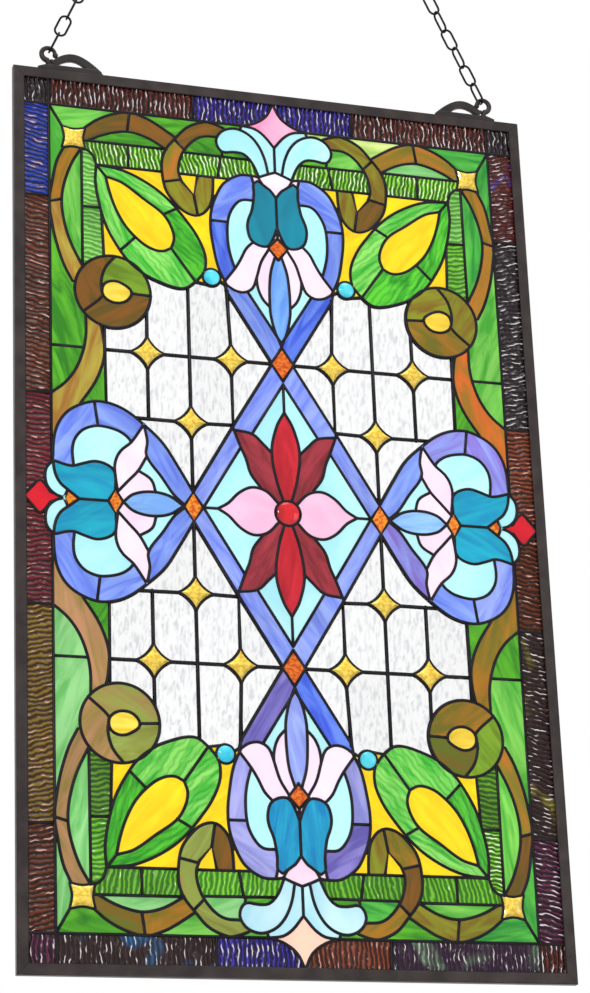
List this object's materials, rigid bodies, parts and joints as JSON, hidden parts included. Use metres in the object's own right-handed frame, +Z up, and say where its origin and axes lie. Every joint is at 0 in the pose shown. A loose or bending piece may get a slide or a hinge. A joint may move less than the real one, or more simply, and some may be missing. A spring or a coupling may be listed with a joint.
{
  "type": "stained glass window",
  "caption": "Hanging leaded stained glass panel in a metal channel frame, symmetrical scroll and leaf design with ribbons, hung by two short chains.",
  "frame": {"origin": "hanging point, midway between the tops of the two chain hooks, in the middle of the panel's thickness", "axes": "+Z up, +X to the right seen from the front, the front face looks along -Y"},
  "size_m": [0.51, 0.0128, 1.0293],
  "materials": {
    "zinc_frame": "zinc channel with a dark bronze patina, satin",
    "came_solder": "black patina on rounded solder, low sheen",
    "hanger_bronze": "dark bronze, satin",
    "chain_steel": "black steel wire",
    "border_glass": "dark ripple glass in maroon, violet, navy and olive",
    "field_glass": "green, olive and amber streaky and ripple glass",
    "leaf_glass": "streaky green glass",
    "heart_glass": "bright yellow glass",
    "rosette_glass": "streaky olive and amber glass",
    "clear_glass": "clear water glass",
    "amber_jewel": "cast amber jewel",
    "turquoise_jewel": "cast turquoise cabochon",
    "pink_glass": "pink glass",
    "cyan_glass": "pale cyan glass",
    "teal_glass": "deep teal glass",
    "pale_pink_glass": "pale pink opal glass",
    "ribbon_glass": "streaky periwinkle and violet glass",
    "ruby_glass": "ruby glass",
    "red_jewel": "cast red cabochon"
  },
  "bodies": {
    "root": {"rail_top": "zinc_frame", "rail_bottom": "zinc_frame", "rail_right": "zinc_frame", "rail_left": "zinc_frame", "came_net": "came_solder", "border_glass_top_left": "border_glass", "border_glass_top_right": "border_glass", "border_glass_bottom_left": "border_glass", "border_glass_bottom_right": "border_glass", "field_glass_top_left": "field_glass", "field_glass_top_right": "field_glass", "field_glass_bottom_left": "field_glass", "field_glass_bottom_right": "field_glass", "leaf_glass_top_left": "leaf_glass", "leaf_glass_top_right": "leaf_glass", "leaf_glass_bottom_left": "leaf_glass", "leaf_glass_bottom_right": "leaf_glass", "leaf_heart_top_left": "heart_glass", "leaf_heart_top_right": "heart_glass", "leaf_heart_bottom_left": "heart_glass", "leaf_heart_bottom_right": "heart_glass", "rosette_glass_top_left": "rosette_glass", "rosette_glass_top_right": "rosette_glass", "rosette_glass_bottom_left": "rosette_glass", "rosette_glass_bottom_right": "rosette_glass", "clear_glass_top_left": "clear_glass", "clear_glass_top_right": "clear_glass", "clear_glass_bottom_left": "clear_glass", "clear_glass_bottom_right": "clear_glass", "corner_jewel_top_left": "amber_jewel", "corner_jewel_top_right": "amber_jewel", "corner_jewel_bottom_left": "amber_jewel", "corner_jewel_bottom_right": "amber_jewel", "turquoise_jewel_top_left": "turquoise_jewel", "turquoise_jewel_top_right": "turquoise_jewel", "turquoise_jewel_bottom_left": "turquoise_jewel", "turquoise_jewel_bottom_right": "turquoise_jewel", "star_tip_top": "pink_glass", "star_tip_bottom": "pink_glass", "fleur_glass_top": "cyan_glass", "fleur_glass_bottom": "cyan_glass", "teal_heart_top": "teal_glass", "teal_heart_bottom": "teal_glass", "petal_glass_top": "pale_pink_glass", "petal_glass_bottom": "pale_pink_glass", "side_petal_glass_left": "cyan_glass", "side_petal_glass_right": "cyan_glass", "side_teal_left": "teal_glass", "side_teal_right": "teal_glass", "side_sliver_left": "cyan_glass", "side_sliver_right": "cyan_glass", "side_tip_left": "ruby_glass", "side_tip_right": "ruby_glass", "ribbon_glass": "ribbon_glass", "centre_glass": "ruby_glass", "red_jewel": "red_jewel", "hanger_right": "hanger_bronze", "chain_right": "chain_steel", "hanger_left": "hanger_bronze", "chain_left": "chain_steel"}
  },
  "joints": []
}
